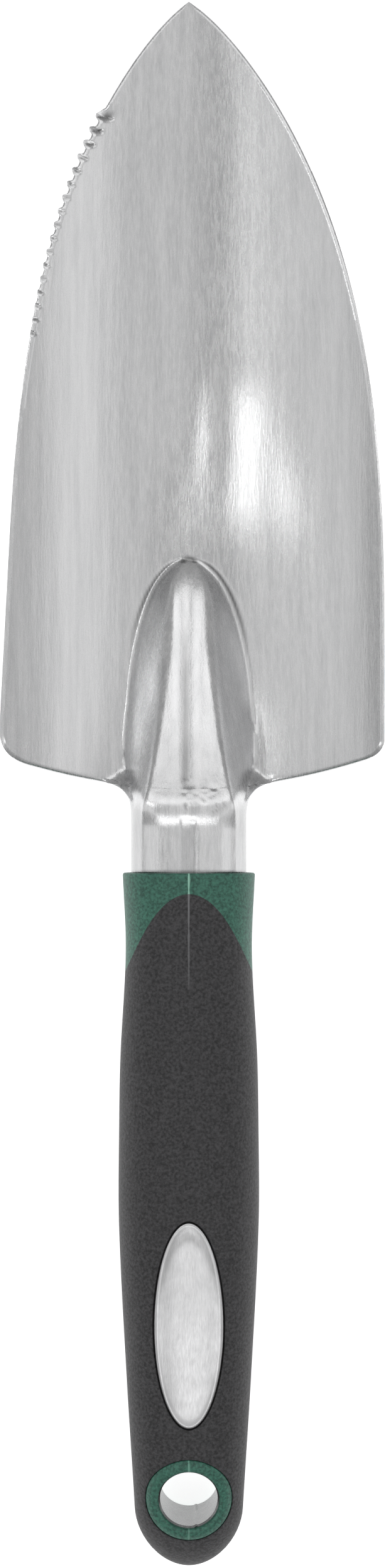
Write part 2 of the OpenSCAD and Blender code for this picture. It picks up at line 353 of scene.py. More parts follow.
def rib_shape(x, s):
    """Height across the rib, 1 on the ridge and 0 at the foot: a nearly flat top as wide as the
    facet, then a flank that falls away. Towards the neck it turns into a rounded box."""
    w = np.maximum(rib_width(s), 1e-3)
    p = np.clip(np.abs(x) / w, 0, 1)
    q = np.clip(along(facet_half_widths, s) / w, 0.05, 0.9)
    flank = 0.965 * (1 - np.clip((p - q) / (1 - q), 0, 1) ** 1.25)
    top = 1 - 0.035 * (p / q) ** 2
    ridge = smooth_min(top, flank + 0.03, 0.16)
    box = mix((1 - p**4) ** (1 / 2.4), (1 - p**2.4) ** (1 / 1.8), ease(183, 187, s))
    return np.where(p < 1, mix(ridge, box, ease(166, 175, s)), 0)


print(f"rib from {rib_station}, shoulder at {shoulder_station}, {shoulder_z} mm high")


# %% Filed marks and pits
def rib_marks(x, s):
    """Filed marks on the ridge: a groove left of the middle between two low ridges, fading out at
    both ends, and a shallow strip with cross waves along the neck."""
    lengthwise = ease(119, 126, s) * (1 - ease(160, 168, s))
    groove = -0.22 * np.exp(-(((x + 0.6) / 1.2) ** 2))
    ridges = 0.14 * (np.exp(-(((x + 2.9) / 1.3) ** 2)) + np.exp(-(((x - 1.7) / 1.2) ** 2)))
    strip = (1 - ease(1.4, 1.9, np.abs(x + 0.05))) * ease(171.5, 173.5, s)
    waves = -0.2 + 0.05 * np.sin(2 * math.pi * s / 1.1 + 0.8 * x)
    return lengthwise * (groove + ridges) + strip * waves


pits = np.random.default_rng(11)
pit_x = np.concatenate([pits.uniform(-1.2, 1.5, 26), pits.uniform(2.6, 5.6, 16),
                        pits.uniform(5.0, 7.6, 8), pits.uniform(-14.2, -12.3, 6)])
pit_s = np.concatenate([pits.uniform(163, 171.2, 26), pits.uniform(164, 168.8, 16),
                        pits.uniform(169.4, 171, 8), pits.uniform(163.3, 165.6, 6)])
pit_r = pits.uniform(0.2, 0.36, len(pit_x))


def pitting(x, s):
    """Gas pits near the shoulder: the sum of small round dips, each a bell curve."""
    near = np.exp(-(((x[..., None] - pit_x) ** 2 + (s[..., None] - pit_s) ** 2) / pit_r**2))
    return -0.17 * np.minimum(near.sum(-1), 1.2)


print(f"{len(pit_x)} pits, the widest {2 * pit_r.max():.2f} mm across")


# %% Top and underside
def half_sheet(s):
    """Half the thickness of the sheet, which gives way to the solid neck."""
    return sheet_t / 2 * (1 - ease(heel_station + 1, neck_start, s))


def upper(x, s):
    """Top of the casting: the sheet, or the rib and neck where they are higher. A fine crease runs
    round the rib's nose, and the foot of the rib gets rounder towards the heel."""
    w = rib_width(s)
    behind = (s > rib_station) & (s < 160)
    crease = np.where(behind, np.exp(-(((np.abs(x) - w - 0.2) / 0.4) ** 2)), 0)
    crease = crease * (1 - ease(122, 138, s))
    sheet = middle(x, s) + half_sheet(s) - 0.22 * crease
    reach = np.maximum(w, 1e-6)
    foot = mix(middle(-w, s), middle(w, s), ease(-reach, reach, x))
    rib = mix(foot - 0.3, rib_top(s), rib_shape(x, s))
    inside = (s > rib_station) & (np.abs(x) < w + 2)
    round_foot = mix(0.35, 3.2, ease(124, 158, s)) * (1 - 0.9 * ease(168, 172, s))
    return np.where(inside, smooth_max(sheet, rib, round_foot), sheet)


def lower(x, s):
    """Underside: the sheet, or the round belly of the rib and neck where it is lower."""
    sheet = middle(x, s) - half_sheet(s)
    w = np.maximum(rib_width(s), 1e-3)
    p = np.clip(np.abs(x) / w, 0, 1)
    box = (1 - p**2.4) ** (1 / 1.8)
    bottom = mix(0, neck_z - neck_h / 2, ease(160, neck_start, s))
    bottom = mix(middle(0 * x, s) - half_sheet(s), bottom, ease(rib_station, 150, s))
    belly = mix(middle(w, s), bottom, box)
    inside = (s > rib_station) & (np.abs(x) < w)
    return np.where(inside, smooth_min(sheet, belly, 0.6), sheet)


top_mm, under_mm = (float(face(np.zeros(1), np.full(1, shoulder_station))[0]) for face in (upper, lower))
print(f"at the shoulder the top is {top_mm:.1f} mm high and the underside {under_mm:.1f} mm")


# %% [markdown]
# ## The teeth
# Each tooth is a small scallop pressed into the top of the left rim. The metal that it pushes
# aside stands out of the outline as a lip. The scallops get smaller towards the heel. Booleans
# would leave ragged edges on so thin a rim, so both effects are heights and offsets by formula.

# %% Scallops of the teeth
def tooth_phase(s):
    """Number of the nearest tooth, and how far s is from its middle in mm."""
    n = np.clip(np.round((s - tooth_station) / tooth_pitch), 0, tooth_count - 1)
    return n, s - (tooth_station + n * tooth_pitch)


def tooth_lip(s):
    """How far the rim stands out: a bump that is steep on the tip side."""
    n, d = tooth_phase(s)
    size = 1.2 * (1 - n / tooth_count) ** 0.9
    return size * ease(-0.95, -0.35, d) * (1 - ease(0.35, 0.95, d)) * (1 - 0.25 * ease(-0.3, 0.6, d))


def scallop(x, s):
    """Depth pressed into the top of the rim: an oval as wide as the tooth is long, deepest near
    the outline on the tip side."""
    n, d = tooth_phase(s)
    length = 1.6 + 2.7 * np.exp(-n / 2.8)
    half = 0.55 + 0.26 * np.exp(-n / 3)
    depth = 0.5 + 0.3 * np.exp(-n / 3)
    reach = (x - left_edge(s) + 0.8 * tooth_lip(s)) / length
    lens = np.sqrt(np.clip(1 - (2.1 * reach - 1.0) ** 2, 0, 1))
    across_lens = np.clip(d / np.maximum(half * lens, 1e-3), -1, 1)
    wall = ease(-1, -0.55, across_lens)
    return depth * lens * wall * (1 - across_lens) / 2


print(f"{tooth_count} teeth, {tooth_pitch} mm apart")

# %% [markdown]
# ## The casting as one skin
# The top is three grids: straight rows from the tip to the rib, a patch between four curves that
# turns the straight rows into the swept back edge, and the neck. The underside has the same
# points across with other heights, and a half-round rim closes the sheet all the way round.
# Inside the handle the same ring of points shrinks to the tang.

# %% Rows of the blade
teeth_start, teeth_end, plain_end, straight_end, corner_start = 23.8, 73.0, 115.0, 132.0, 153.0
tip_rows, teeth_rows, plain_rows, close_rows, late_rows = 31, 163, 28, 50, 23
corner_share = 0.55


def blade_outline(edge_of, corner):
    """Outline of one side from the tip to the middle of its corner, as (x, s) points: close
    together at the tip and along the teeth, then wider apart."""
    tip = teeth_start * np.linspace(0.0, 1, tip_rows + 1)[1:] ** 1.9
    teeth = np.linspace(teeth_start, teeth_end, teeth_rows + 1)[1:]
    plain = np.linspace(teeth_end, plain_end, plain_rows + 1)[1:]
    close = np.linspace(plain_end, straight_end, close_rows + 1)[1:]
    late = np.linspace(straight_end, corner_start, late_rows + 1)[1:]
    s = np.concatenate([[0.0], tip, teeth, plain, close, late])
    curve = np.stack([edge_of(s), s], 1)
    corner_curve = bend(*corner, corner_share * np.linspace(0, 1, 9)[1:])
    shift = np.array([corner[0][0] - curve[-1, 0], 0])
    curve += shift * ease(110, corner_start, s)[:, None]
    return np.concatenate([curve, corner_curve])


left_outline = blade_outline(left_edge, left_corner)
right_outline = blade_outline(right_edge, right_corner)
left_in, left_out = inset(left_outline, -1)
right_in, right_out = inset(right_outline, 1)
left_out[0] = right_out[0] = (0, 0)
left_in[0] = right_in[0] = (0, 0)
straight_rows = 1 + tip_rows + teeth_rows + plain_rows + close_rows
print(f"{len(left_outline)} rows on each side, widest {-left_outline[:, 0].min():.1f} and "
      f"{right_outline[:, 0].max():.1f} mm from the middle")


def columns(left, right):
    """Places across a row between two edges: five bands, close together at the left rim and over
    the rib, each band scaled to the row's width."""
    left, right = np.asarray(left)[:, None], np.asarray(right)[:, None]
    band_l, band_r = np.minimum(4.6, -0.3 * left), np.minimum(2.5, 0.3 * right)
    core_l, core_r = np.minimum(fillet_x - 3, -0.6 * left), np.minimum(fillet_x - 3, 0.6 * right)
    t = [np.linspace(0, 1, n + 1)[None, :-1] for n in (13, 17, 58, 17, 7)]
    return np.concatenate([mix(left, left + band_l, t[0]), mix(left + band_l, -core_l, t[1]),
                           mix(-core_l, core_r, t[2]), mix(core_r, right - band_r, t[3]),
                           mix(right - band_r, right, t[4]), right], 1)


def curved_row(x, left_s, right_s, centre_s):
    """Stations along rows that bend with the square of the distance from the middle."""
    u = x / np.where(x < 0, x[:, :1], x[:, -1:])
    edge_s = np.where(x < 0, left_s[:, None], right_s[:, None])
    return mix(centre_s[:, None], edge_s, u * u)


rows_x = columns(left_in[:straight_rows, 0] - 1e-9, right_in[:straight_rows, 0] + 1e-9)
centre = (left_in[:straight_rows, 1] + right_in[:straight_rows, 1]) / 2
rows_s = curved_row(rows_x, left_in[:straight_rows, 1], right_in[:straight_rows, 1], centre)
print("straight part:", rows_x.shape, "points")


# %% The patch to the back edge
def coons(front, back, left, right):
    """Points between four border curves: the blend from front to back, plus the blend from left
    to right, less what the four corners give to both."""
    u = ((front[:, 0] - front[0, 0]) / (front[-1, 0] - front[0, 0]))[None, :, None]
    v = np.linspace(0, 1, len(left))[:, None, None]
    lengthwise = mix(front[None], back[None], v)
    crosswise = mix(left[:, None], right[:, None], u)
    corners = mix(mix(front[0], front[-1], u), mix(back[0], back[-1], u), v)
    return lengthwise + crosswise - corners


front_row = np.stack([rows_x[-1], rows_s[-1]], 1)
neck_columns = np.flatnonzero(np.abs(rows_x[-1]) < fillet_x - 2.0)
first_neck, last_neck = neck_columns[0], neck_columns[-1]
neck_x = np.linspace(-fillet_x, fillet_x, len(neck_columns))
middle_back = np.stack([neck_x, heel(neck_x)], 1)


def back_side(corner, count, join_x):
    """Outline of the back edge from the middle of a corner to the fillet of the neck."""
    t = np.linspace(corner_share, 1, 7)[:-1]
    x = np.linspace(corner[2][0], join_x, count - 6 + 1)
    return np.concatenate([bend(*corner, t), np.stack([x, heel(x)], 1)])


back_left = back_side(left_corner, first_neck, -fillet_x)
back_right = back_side(right_corner, len(front_row) - 1 - last_neck, fillet_x)[::-1]
back_left_in, back_left_out = inset(back_left, -1)
back_right_in, back_right_out = inset(back_right[::-1], 1)
back_right_in, back_right_out = back_right_in[::-1], back_right_out[::-1]
for inner, outward, near, near_out in ((back_left_in, back_left_out, left_in, left_out),
                                       (back_right_in[::-1], back_right_out[::-1], right_in, right_out)):
    inner[0] = near[-1]
    outward[0] = near_out[-1]
back_row = np.concatenate([back_left_in[:-1], middle_back, back_right_in[1:]])
back_row[first_neck], back_row[last_neck] = back_left_in[-1], back_right_in[0]
patch = coons(front_row, back_row, left_in[straight_rows - 1:], right_in[straight_rows - 1:])
print("patch to the back edge:", patch.shape[:2], "points")

# %% The neck and the rim
fillet = bend((fillet_x, heel(fillet_x)), (neck_w / 2, heel_station - 0.6), (neck_w / 2, neck_start),
              np.linspace(0, 1, 15))
straight_s = np.linspace(neck_start, neck_end, 40)[1:]
straight_side = np.stack([np.full(len(straight_s), neck_w / 2), straight_s], 1)
neck_side = np.concatenate([fillet, straight_side])
neck_in, neck_out = inset(neck_side, 1)
neck_in[0], neck_out[0] = back_right_in[0], back_right_out[0]
neck_left_in, neck_left_out = neck_in * (-1, 1), neck_out * (-1, 1)
neck_left_in[0], neck_left_out[0] = back_left_in[-1], back_left_out[-1]
share = (back_row[first_neck:last_neck + 1, 0] / back_row[last_neck, 0])[None, :]
neck_rows_x = np.where(share < 0, -neck_left_in[:, :1] * share, neck_in[:, :1] * share)
start_s = back_row[first_neck:last_neck + 1, 1]
centre_s = mix(heel_station, neck_in[:, 1], ease(0, 1, np.linspace(0, 1.4, len(neck_in))))
bent = centre_s[:, None] + (neck_in[:, 1:] - centre_s[:, None]) * share**2
neck_rows_s = np.where(np.arange(len(neck_in))[:, None] == 0, start_s[None], bent)
neck_rows_x[0] = back_row[first_neck:last_neck + 1, 0]
neck_rows_x[:, 0], neck_rows_s[:, 0] = neck_left_in.T
neck_rows_x[:, -1], neck_rows_s[:, -1] = neck_in.T


def top_points(x, s):
    """The finished top face, with its teeth, filed marks and pits."""
    z = upper(x, s) - scallop(x, s) * (x < 0)
    near_rib = (s > rib_station) & (np.abs(x) < 15)
    z = z + np.where(near_rib, rib_marks(x, s), 0)
    return place(x, s, np.where(s > 160, z + pitting(x, s), z))


def rim_points(inner, outward, lip=0.0):
    """Half-round edge of the sheet: from the top face round the outside to the underside. The
    section is a flattened ellipse, and the lip of a tooth pushes the outside further out."""
    angle = np.linspace(math.pi / 2, -math.pi / 2, 9)[None, :]
    reach = (1 + lip / rim_round) * np.abs(np.cos(angle)) ** 0.75
    x = inner[:, :1] + outward[:, :1] * reach
    s = inner[:, 1:] + outward[:, 1:] * reach
    top = top_points(inner[:, 0], inner[:, 1])[:, 2][:, None]
    under = lower(inner[:, 0], inner[:, 1])[:, None]
    height = signed_power(np.sin(angle), 0.75)
    rise = (middle(x, s) - middle(inner[:, :1], inner[:, 1:])) * np.cos(angle) ** 2
    sheet_rim = mix(under, top, (1 + height) / 2) + rise
    neck_rim = np.where(angle > 0, upper(x, s), np.where(angle < 0, lower(x, s), middle(x, s)))
    return place(x, s, mix(sheet_rim, neck_rim, ease(heel_station + 1, neck_start, inner[:, 1:])))


def sheet_patch(x, s):
    """Top and underside over one grid of places."""
    return [(top_points(x, s), False), (place(x, s, lower(x, s)), False)]


left_lip = tooth_lip(left_in[:, 1])[:, None]
casting_patches = sheet_patch(rows_x, rows_s) + sheet_patch(patch[..., 0], patch[..., 1])
casting_patches += sheet_patch(neck_rows_x, neck_rows_s)
casting_patches.append((rim_points(left_in, left_out, left_lip), False))
plain_rims = [(right_in, right_out), (back_left_in, back_left_out), (back_right_in, back_right_out),
              (neck_left_in, neck_left_out), (neck_in, neck_out)]
casting_patches += [(rim_points(inner, outward), False) for inner, outward in plain_rims]
print(f"{len(casting_patches)} patches in the scoop, rib and neck")

# %% The tang
tang_w, tang_t = 14.0, 8.0
tang_stations = np.linspace(neck_end, hole_station - 7.2, 30)
centre_heights = [(184, 13.7), (205, 15.8), (240, 17.3), (275, 15.8), (300, 12.6), (316, 9.6),
                  (330, 6.4)]
end_top = top_points(neck_rows_x[-1], neck_rows_s[-1])
end_under = place(neck_rows_x[-1], neck_rows_s[-1], lower(neck_rows_x[-1], neck_rows_s[-1]))
end_right = rim_points(neck_in[-1:], neck_out[-1:])[0]
end_left = rim_points(neck_left_in[-1:], neck_left_out[-1:])[0]
end_ring = np.concatenate([end_top, end_right[1:-1], end_under[::-1], end_left[-2:0:-1]])


def tang_ring(s):
    """The neck's ring of points drawn in to a rectangle with rounded corners at station s."""
    across = end_ring[:, 0] / (neck_w / 2)
    height = (end_ring[:, 2] - neck_z) / (neck_h / 2)
    size = np.maximum(np.maximum(np.abs(across), np.abs(height)), 1e-6)
    level = mix(neck_z, along(centre_heights, s), ease(neck_end, 215, s))
    return place(across / size * tang_w / 2, s, level + height / size * tang_t / 2)


tang_rows = np.stack([end_ring] + [tang_ring(s) for s in tang_stations])
casting_patches += [(tang_rows, True), (collapse(tang_rows[-1]), True)]
casting = make_piece("trowel_casting", casting_patches)


# %% [markdown]
# ## Along the hang hole
# The hole leans towards the end of the handle, so everything round it is given by a radius, an
# angle round the hole and a depth along it.

# %% Points round the hang hole
def round_hole(radius, depth, angle):
    """Points at a radius, a depth along the leaning hole and an angle round it, 90 degrees being
    towards the tip."""
    x = radius * np.cos(angle)
    v = radius * np.sin(angle)
    s = hole_station - v * math.cos(hole_lean) + depth * math.sin(hole_lean)
    return place(x, s, hole_z + v * math.sin(hole_lean) + depth * math.cos(hole_lean))


eye_half_depth, eye_outside = 5.5, 8.2
print(f"the hole leans {math.degrees(hole_lean):.1f} degrees, the eye is {2 * eye_outside} mm across")


# %% [markdown]
# ## The handle's surface
# The handle could be lofted through drawn sections. Here each section is a rounded oval whose
# half width, half height and middle follow smooth curves along the tool, so any point at any
# depth under the skin comes from one formula. The thumb area is a shallow flat.

# %% Handle surface
section_power = 2.25
half_widths = [(184, 13.9), (200, 13.25), (222, 14.35), (237, 14.62), (257, 14.65), (290, 13.05),
               (317, 11.45), (330, 10.9)]
half_heights = [(184, 11.9), (200, 11.4), (225, 12.3), (250, 12.6), (275, 11.6), (300, 10.0),
                (317, 8.9), (330, 8.4)]
butt_station, butt_power = tool_length - 12.5, 1.9
grip_t = 2.5
grip_station, grip_arch, arch_half_width = 187.9, 0.092, 13.35


def butt(s):
    """How much the section shrinks at the round end of the handle: a flattened quarter circle."""
    share = np.clip((s - butt_station) / (tool_length - butt_station), 0, 1)
    return (1 - share**butt_power) ** (1 / butt_power)


def thumb_depth(s):
    """Depth of the flat under the thumb."""
    return 0.9 * ease(228, 262, s) * (1 - ease(296, 312, s))


def section_size(s, depth):
    """Half width and half height of the section at a depth under the skin."""
    shrink = butt(s + depth)
    return (along(half_widths, s) - depth) * shrink, (along(half_heights, s) - depth) * shrink


def seam(x, s):
    """The thin line of flash that the two halves of the mould leave along the middle."""
    strength = 0.14 * (1 - ease(198, 208, s)) + 0.03
    return strength * np.exp(-((x / 0.2) ** 2)) * (1 - ease(252, 256, s))


def skin_height(x, s, depth, top):
    """Height of the skin above or below a place: the oval (1 - (|x| / w)^p)^(1 / p), sunk to the
    thumb's flat on top, with the line of flash."""
    w, h = section_size(s, depth)
    share = np.clip(np.abs(x) / np.maximum(w, 1e-6), 0, 1)
    z = h * (1 - share**section_power) ** (1 / section_power)
    flat = along(half_heights, s) - thumb_depth(s) - depth
    level = smooth_min(z, flat, 0.5) if top else -z
    mark = seam(x, s) * (depth < 0.01)
    return along(centre_heights, s) + level + (mark if top else -mark)


def skin_point(angle, s, depth):
    """A point of the skin from an angle round the section, 90 degrees being straight up."""
    w = section_size(s, depth)[0]
    x = w * signed_power(np.cos(angle), 2 / section_power)
    return np.where(np.sin(angle)[..., None] >= 0, place(x, s, skin_height(x, s, depth, True)),
                    place(x, s, skin_height(x, s, depth, False)))


print(f"handle from {collar_station} to {tool_length:.1f}, rubber {grip_t} mm thick")

# %% [markdown]
# ## Windows in the skin
# The thumb plate and the hang hole cut through the skin's grid of points. Cutting them with a
# boolean would leave slivers along the rim. Instead a rectangular window is left out of the grid
# and filled by rings of points that turn step by step from the window's frame into the oval or
# the circle, so the rim gets its own rounded lip.

# %% Grid with windows
seam_angles = (-2.4, -1.3, -0.7, -0.35, 0, 0.35, 0.7, 1.3, 2.4)
plain_angles = [a for a in np.arange(0, 360, 3.0) if min(abs(a - 90), abs(a - 270)) > 2.9]
angles = np.radians(sorted(plain_angles + [c + d for c in (90, 270) for d in seam_angles]))
oval_rows, ring_rows = (250.5, 301.2), (301.2, 327.2)
front_count, oval_count, ring_count, end_count = 45, 35, 21, 9


def grip_edge(angle):
    """Station where green gives way to black: an arch that runs back with the square of x."""
    x = arch_half_width * np.abs(np.cos(angle)) ** (2 / section_power)
    return grip_station + grip_arch * x * x


def skin_stations(depth):
    """Stations of the rows: curved at the front, straight from the middle, and closer together
    towards the round end, where they follow a quarter circle."""
    front = mix(grip_edge(angles)[None], oval_rows[0], np.linspace(0, 1, front_count + 1)[:-1, None])
    oval = np.linspace(*oval_rows, oval_count + 1)[:-1, None] + 0 * angles
    ring = np.linspace(*ring_rows, ring_count + 1)[:-1, None] + 0 * angles
    turn = np.linspace(0, 1, end_count)[:, None]
    end = mix(ring_rows[1], tool_length - depth - 0.004, 1 - (1 - turn) ** 2.2) + 0 * angles
    return np.concatenate([front, oval, ring, end])


def row_at(station):
    return int(np.argmin(np.abs(skin_stations(0)[:, 0] - station)))


def index_window(rows, degrees_from, degrees_to):
    """First and last row and column of a window."""
    low = int(np.argmin(np.abs(angles - math.radians(degrees_from))))
    high = int(np.argmin(np.abs(angles - math.radians(degrees_to))))
    return row_at(rows[0]), row_at(rows[1]), low, high


oval_window = index_window(oval_rows, 42, 138)
top_window = index_window(ring_rows, 24, 156)
mirror = -np.arange(len(angles)) % len(angles)
under_window = top_window[:2] + (len(angles) - top_window[3], len(angles) - top_window[2])


def frame_loop(grid, window, top=True):
    """The points round a window's frame, in order. The window of the lower face mirrors the upper
    one, and its points are taken in the same order."""
    grid = grid if top else grid[:, mirror]
    r0, r1, c0, c1 = window
    return np.concatenate([grid[r0, c0:c1], grid[r0:r1, c1], grid[r1, c1:c0:-1], grid[r1:r0:-1, c0]])


def cut_windows(grid, windows):
    """The grid in closed bands of rows, with the windows left out: a band that has a window is
    the run of columns that goes round its back."""
    cuts = sorted(set([0, len(grid) - 1] + [w[0] for w in windows] + [w[1] for w in windows]))
    patches = []
    for start, stop in zip(cuts[:-1], cuts[1:]):
        band = grid[start:stop + 1]
        open_here = sorted(w[2:] for w in windows if w[0] <= start and w[1] >= stop)
        if not open_here:
            patches.append((band, True))
            continue
        n = band.shape[1]
        for (_, end), (begin, _) in zip(open_here, open_here[1:] + [(open_here[0][0] + n, 0)]):
            patches.append((band[:, np.arange(end, begin + 1) % n], False))
    return patches


def skin_surface(x, s, depth, top):
    return place(x, s, skin_height(x, s, depth, top))


def pierce_depth(radius, angle, depth, top):
    """How far along lines parallel to the leaning hole the skin lies at a depth: the distance is
    corrected by the height that is still missing, over and over."""
    t = np.full(np.broadcast(radius, angle).shape, 9.0 if top else -9.0)
    for _ in range(16):
        point = round_hole(radius, t, angle)
        missing = skin_height(point[..., 0], tip_y - point[..., 1], depth, top) - point[..., 2]
        t = t + missing / math.cos(hole_lean)
    return t


def pierce(radius, angle, depth, top):
    """The points where lines parallel to the leaning hole meet the skin at a depth."""
    return round_hole(radius, pierce_depth(radius, angle, depth, top), angle)


def rings_between(loop, rim, depth, top, count=10):
    """Rings of points on the skin from a window's frame to a rim, closer together at the rim."""
    share = (1 - (1 - np.linspace(0, 1, count)) ** 1.5)[1:-1, None]
    x = mix(loop[None, :, 0], rim[None, :, 0], share)
    s = tip_y - mix(loop[None, :, 1], rim[None, :, 1], share)
    return np.concatenate([loop[None], skin_surface(x, s, depth, top), rim[None]])


ring_frame = frame_loop(skin_point(angles[None], skin_stations(0), 0.0), top_window)
hole_angle = np.arctan2(hole_station - (tip_y - ring_frame[:, 1]), ring_frame[:, 0])
print("points round the hang hole:", len(hole_angle))


# %% [markdown]
# ## The rubber grip
# The grip is a shell 2.5 mm thick, soft rubber moulded over the core, with a hole on each face
# for the green rings and an oval recess for the plate. Solidify would give the thickness, but
# not the recess, so the inside is a second skin that joins the outside at the three openings.

# %% Grip
ring_outside = 9.1
lip = 0.3


def lip_profile(radius, deep):
    """Rounded lip of a hole in rubber, then its wall down to a depth, as (radius, depth) pairs:
    a quarter circle at the top."""
    turn = np.linspace(0, math.pi / 2, 5)[1:]
    rounded = [(radius + lip * (1 - math.sin(a)), lip * (1 - math.cos(a))) for a in turn]
    return rounded + [(radius, deep)]


def oval_ring(angle, grow, depth, scale=1.0):
    """Points of an oval a distance grow outside the plate's outline, shrunk by scale."""
    x = scale * (plate_width / 2 + grow) * np.cos(angle)
    s = plate_station - scale * (plate_length / 2 + grow) * np.sin(angle)
    return skin_surface(x, s, depth, True)


plate_gap = 0.22
recess_depth = 1.4
outer_skin = skin_point(angles[None], skin_stations(0), 0.0)
inner_skin = skin_point(angles[None], skin_stations(grip_t), grip_t)
grip_patches = cut_windows(outer_skin, [oval_window, top_window, under_window])
grip_patches += cut_windows(inner_skin, [top_window, under_window])
grip_patches.append((np.stack([outer_skin[0], inner_skin[0]]), True))
grip_patches += [(collapse(outer_skin[-1]), True), (collapse(inner_skin[-1]), True)]
for top in (True, False):
    rim = pierce(ring_outside + lip, hole_angle, 0.0, top)
    outside = rings_between(frame_loop(outer_skin, top_window, top), rim, 0.0, top)
    wall = [pierce(r, hole_angle, d, top) for r, d in lip_profile(ring_outside, grip_t)]
    inside = rings_between(frame_loop(inner_skin, top_window, top), wall[-1], grip_t, top, 6)
    grip_patches += [(np.concatenate([outside, np.stack(wall)]), True), (inside, True)]

oval_loop = frame_loop(outer_skin, oval_window)
ahead_of_plate = plate_station - (tip_y - oval_loop[:, 1])
oval_angle = np.arctan2(ahead_of_plate / plate_length, oval_loop[:, 0] / plate_width)
oval_rings = [oval_ring(oval_angle, plate_gap + lip * (1 - math.sin(a)), lip * (1 - math.cos(a)))
              for a in np.linspace(0, math.pi / 2, 5)]
oval_rings += [oval_ring(oval_angle, plate_gap, recess_depth, scale) for scale in (1, 0.7, 0.4, 0.1)]
recess_mouth = rings_between(oval_loop, oval_rings[0], 0.0, True, 12)
recess = np.concatenate([recess_mouth, np.stack(oval_rings[1:])])
grip_patches += [(recess, True), (collapse(recess[-1]), True)]
grip = make_piece("rubber_grip", grip_patches)

# %% [markdown]
# ## The hard core
# The green core shows as the collar at the front and as the two rings round the hang hole. It
# is one moulding, so it is one closed surface: collar, a step down under the rubber, the inner
# skin, and a tunnel through the hole whose walls step out round the metal eye.

# %% Core
collar_round = 0.45
collar_rows = [(collar_station, 0.9), (collar_station, collar_round)]
collar_rows += [(collar_station + collar_round * (1 - math.cos(a)), collar_round * (1 - math.sin(a)))
                for a in np.linspace(0.2, math.pi / 2, 5)]
collar_edge = [skin_point(angles, s + 0 * angles, d) for s, d in collar_rows]
collar_share = np.linspace(0, 1, 14)[1:, None]
collar_front = collar_station + collar_round
collar_skin = skin_point(angles[None], mix(collar_front, grip_edge(angles)[None], collar_share), 0.0)
core_outside = np.concatenate([np.stack(collar_edge), collar_skin, inner_skin])
core_shift = len(core_outside) - len(inner_skin)
core_windows = [(w[0] + core_shift, w[1] + core_shift, w[2], w[3]) for w in (top_window, under_window)]
core_patches = cut_windows(core_outside, core_windows)
core_patches += [(collapse(core_outside[0]), True), (collapse(core_outside[-1]), True)]

ring_wall = ring_outside - 0.04
ring_bore = eye_bore + 0.35
ring_profile = [(ring_wall, 0.3), (ring_wall - 0.1, 0.1), (ring_wall - 0.3, 0.0), (ring_wall - 0.8, -0.1),
                (ring_wall - 1.4, -0.12), (ring_bore + 0.75, -0.06), (ring_bore + 0.4, 0.04),
                (ring_bore + 0.15, 0.22), (ring_bore, 0.55)]
cover = 1.1
touch = 0.02
tunnel = []
for top, sign in ((True, 1), (False, -1)):
    rim = pierce(ring_wall, hole_angle, grip_t, top)
    rings = rings_between(frame_loop(core_outside, core_windows[0], top), rim, grip_t, top, 6)
    face = [pierce(r, hole_angle, d, top) for r, d in ring_profile]
    eye_end = pierce_depth(ring_bore, hole_angle, cover - touch, top)
    bore = [round_hole(ring_bore, eye_end, hole_angle),
            round_hole(eye_outside + touch, sign * (eye_half_depth + touch), hole_angle)]
    half = np.concatenate([rings, np.stack(face + bore)])
    tunnel.append(half if top else half[::-1])
core_patches.append((np.concatenate(tunnel), True))
core = make_piece("plastic_core", core_patches)

socket_gap = 0.22
gap_scale = 1 + socket_gap / (neck_w / 2)
mouth = (end_ring - (0, 0, neck_z)) * (gap_scale, 1, gap_scale) + (0, 0, neck_z)
socket_rows = [mouth + (0, y, 0) for y in (neck_end - collar_station + 3, 0)]
socket_rows += [tang_ring(s) for s in tang_stations]
socket_grid = np.stack(socket_rows)
socket = make_piece("tang_socket", [(socket_grid, True), (collapse(socket_grid[0]), True),
                                    (collapse(socket_grid[-1]), True)])
core = combine(core, socket, "DIFFERENCE")

# %% [markdown]
# ## The eye of the casting
# The tang ends in an eye, the metal wall seen inside the hang hole. Its section is low on the
# outside, where the core holds it, and tall at the bore, with both ends of the bore chamfered.
# It is carried round the leaning axis of the hole and joined to the casting by a boolean, as it
# meets the tang at an angle. A low line of flash from the casting mould runs down its wall.

# %% Eye
eye_angle = np.radians(np.arange(0, 360, 2.5))
upper_end = pierce_depth(ring_bore, eye_angle, cover, True)
lower_end = pierce_depth(ring_bore, eye_angle, cover, False)
flash_angle = np.radians(284)
flash = 0.22 * np.exp(-(((eye_angle - flash_angle) / 0.035) ** 2))
wall = eye_bore - flash
chamfer = 0.35
eye_section = [(wall + chamfer, lower_end), (eye_outside, -eye_half_depth + 0 * wall),
               (eye_outside, eye_half_depth + 0 * wall), (wall + chamfer, upper_end),
               (wall, upper_end - chamfer), (wall, 0 * wall), (wall, lower_end + chamfer)]
eye_rows = np.stack([round_hole(r, t, eye_angle) for r, t in eye_section])
eye = make_piece("casting_eye", [(np.concatenate([eye_rows, eye_rows[:1]]), True)])
casting = combine(casting, eye, "UNION")


# %% [markdown]
# ## Painted shade on the metal
# Shade is painted into the metal's colour: in the creases round the rib, in the pits, in the roots
# of the teeth, in the joint at the collar, on the wall of the eye and on the neck's rounded sides.
# The filed groove and the shoulder are darker partly for their finish and partly as painted shade,
# the ground strip on the neck for its finish alone, and a satin sheet is duller than a filed ridge.
# Dirt by ambient occlusion would darken every corner alike, so one number a point is worked out by
# formula instead. It changes the colour only, and not the shape.

# %% Painted shade and marks on the casting
sheet_dullness, neck_side_shade, eye_wall_shade = 0.13, 0.35, 0.75


